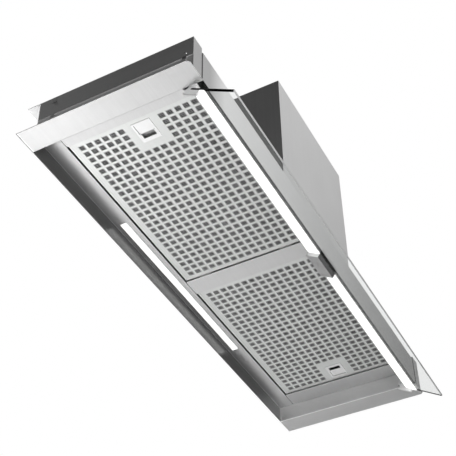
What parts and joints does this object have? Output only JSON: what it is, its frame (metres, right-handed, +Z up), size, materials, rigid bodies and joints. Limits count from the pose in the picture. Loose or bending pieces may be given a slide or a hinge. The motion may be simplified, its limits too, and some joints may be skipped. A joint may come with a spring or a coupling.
{
  "type": "ceiling range hood",
  "caption": "Long built-in ceiling hood with a tilting glass visor with light strips, square-hole grease filters with slide latches, a rear light and a square fan housing with a duct collar.",
  "frame": {"origin": "middle of the four hanging holes, on the upper face of the top plate", "axes": "+X along the length, from the left end flange to the right one as seen by the cook; +Y from the cook's side to the back; +Z up, out of the hanging holes"},
  "size_m": [1.2, 0.4361, 0.516],
  "materials": {
    "steel": "satin",
    "fixings": "bright zinc",
    "galvanised": "galvanised",
    "diffuser": "opal",
    "aluminium": "satin",
    "board": "coated board",
    "latch": "satin silver",
    "glass": "clear",
    "clamp": "satin silver",
    "dark_plastic": "moulded",
    "box": "moulded",
    "motor": "black lacquer"
  },
  "bodies": {
    "hood": {"top_plate": "steel", "left_end_wall": "steel", "right_end_wall": "steel", "back_wall": "steel", "front_wall": "steel", "front_panel": "steel", "recess_tray": "steel", "filter_frame": "steel", "joint_plates": "steel", "tower_shell": "steel", "tower_lid": "steel", "side_clips": "fixings", "tower_screws": "fixings", "lid_screws": "fixings", "control_screws": "fixings", "flap_pin": "fixings", "fan_scroll": "galvanised", "inlet_ring": "galvanised", "motor_spider": "galvanised", "rear_light_diffuser": "diffuser", "rear_light_channel": "aluminium", "rear_led_board": "board", "control_board": "board", "pivot_bushes": "dark_plastic", "duct_collar": "dark_plastic", "cable_gland": "dark_plastic", "led_driver": "dark_plastic", "control_box": "box", "control_lid": "box", "fan_motor": "motor"},
    "visor": {"visor_glass": "glass", "left_light_strip": "diffuser", "right_light_strip": "diffuser", "left_led_tape": "board", "right_led_tape": "board", "left_end_clamp": "clamp", "right_end_clamp": "clamp", "centre_cover": "clamp", "joint_board": "board", "pivot_pins": "fixings"},
    "left_filter": {"left_filter_face": "steel", "left_filter_pack": "aluminium", "left_filter_back": "steel", "left_latch_bezel": "latch"},
    "right_filter": {"right_filter_face": "steel", "right_filter_pack": "aluminium", "right_filter_back": "steel", "right_latch_bezel": "latch"},
    "left_latch": {"left_latch_slider": "latch"},
    "right_latch": {"right_latch_slider": "latch"},
    "front_damper": {"front_flap": "aluminium"},
    "rear_damper": {"rear_flap": "aluminium"},
    "rotor": {"impeller": "dark_plastic", "fan_shaft": "fixings"}
  },
  "joints": [
    {"name": "visor_tilt", "type": "hinge", "parent": "hood", "child": "visor", "pos_m": [0, -0.15, -0.08], "axis": [1, 0, 0], "range_deg": [-19.5, 17.5]},
    {"name": "left_filter_swing", "type": "hinge", "parent": "hood", "child": "left_filter", "pos_m": [-0.0241, 0, -0.043], "axis": [0, -1, 0], "range_deg": [0, 70]},
    {"name": "right_filter_swing", "type": "hinge", "parent": "hood", "child": "right_filter", "pos_m": [0.0241, 0, -0.043], "axis": [0, 1, 0], "range_deg": [0, 70]},
    {"name": "left_latch_slide", "type": "slide", "parent": "left_filter", "child": "left_latch", "axis": [1, 0, 0], "range_m": [0, 0.007], "stiffness_N_per_m": 200, "springref_m": -0.01},
    {"name": "right_latch_slide", "type": "slide", "parent": "right_filter", "child": "right_latch", "axis": [-1, 0, 0], "range_m": [0, 0.007], "stiffness_N_per_m": 200, "springref_m": -0.01},
    {"name": "front_damper_swing", "type": "hinge", "parent": "hood", "child": "front_damper", "pos_m": [0, 0.016, 0.3345], "axis": [-1, 0, 0], "range_deg": [0, 75]},
    {"name": "rear_damper_swing", "type": "hinge", "parent": "hood", "child": "rear_damper", "pos_m": [0, 0.016, 0.3345], "axis": [1, 0, 0], "range_deg": [0, 75]},
    {"name": "fan_spin", "type": "hinge", "parent": "hood", "child": "rotor", "pos_m": [0, -0.026, 0.124], "axis": [1, 0, 0], "continuous": true}
  ]
}
